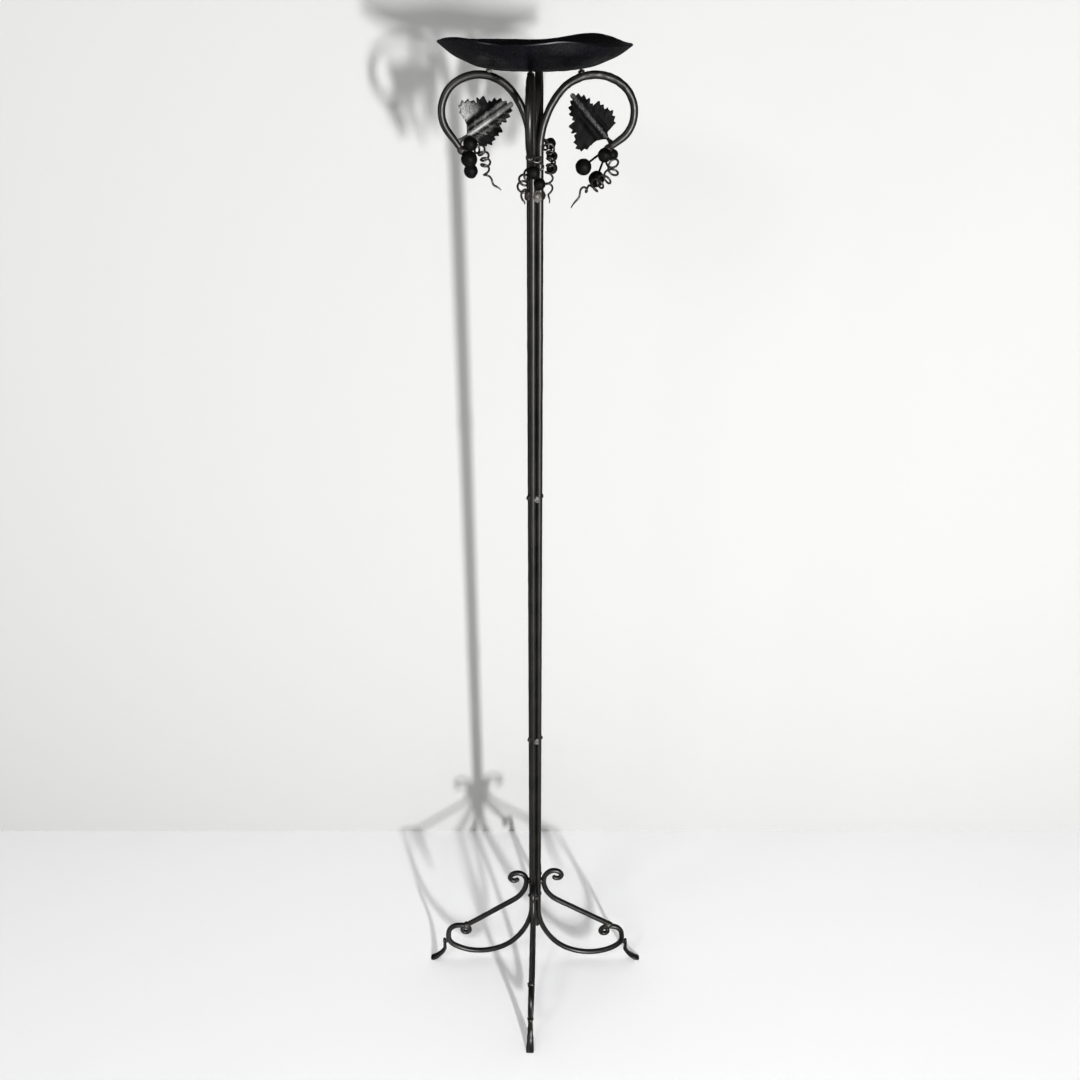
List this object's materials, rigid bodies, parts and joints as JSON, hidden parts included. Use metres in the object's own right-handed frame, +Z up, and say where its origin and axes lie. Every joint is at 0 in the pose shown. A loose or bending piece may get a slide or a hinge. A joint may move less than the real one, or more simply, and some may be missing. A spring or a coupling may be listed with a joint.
{
  "type": "torchere candle stand",
  "caption": "Tall floor stand in forged iron bar with scrolled arms and legs, vine leaves and grapes, carrying a shallow dish for a candle.",
  "frame": {"origin": "on the floor under the stem's axis, between the four feet", "axes": "+Z up along the stem, -Y toward the front leg, +X toward the right leg"},
  "size_m": [0.3406, 0.3406, 1.3505],
  "materials": {
    "iron": "semi-gloss black over forged round bar",
    "dish": "graphite grey over hammered sheet",
    "leaf": "pewter grey sheen over veined sheet",
    "grape": "dark pewter on solid balls",
    "wire": "black over bent wire",
    "weld": "lumpy weld beads under the same black"
  },
  "bodies": {
    "root": {"bar_front": "iron", "bar_right": "iron", "bar_rear": "iron", "bar_left": "iron", "brace_front": "iron", "brace_right": "iron", "brace_rear": "iron", "brace_left": "iron", "foot_front": "iron", "foot_right": "iron", "foot_rear": "iron", "foot_left": "iron", "dish": "dish", "dish_tabs": "iron", "leaf_front": "leaf", "leaf_right": "leaf", "leaf_rear": "leaf", "leaf_left": "leaf", "grapes_front": "grape", "grapes_right": "grape", "grapes_rear": "grape", "grapes_left": "grape", "tendril_front": "wire", "tendril_right": "wire", "tendril_rear": "wire", "tendril_left": "wire", "arm_knobs": "weld", "star_welds": "weld", "upper_welds": "weld", "lower_welds": "weld", "base_welds": "weld", "brace_welds": "weld", "scroll_welds": "weld", "foot_welds": "weld"}
  },
  "joints": []
}
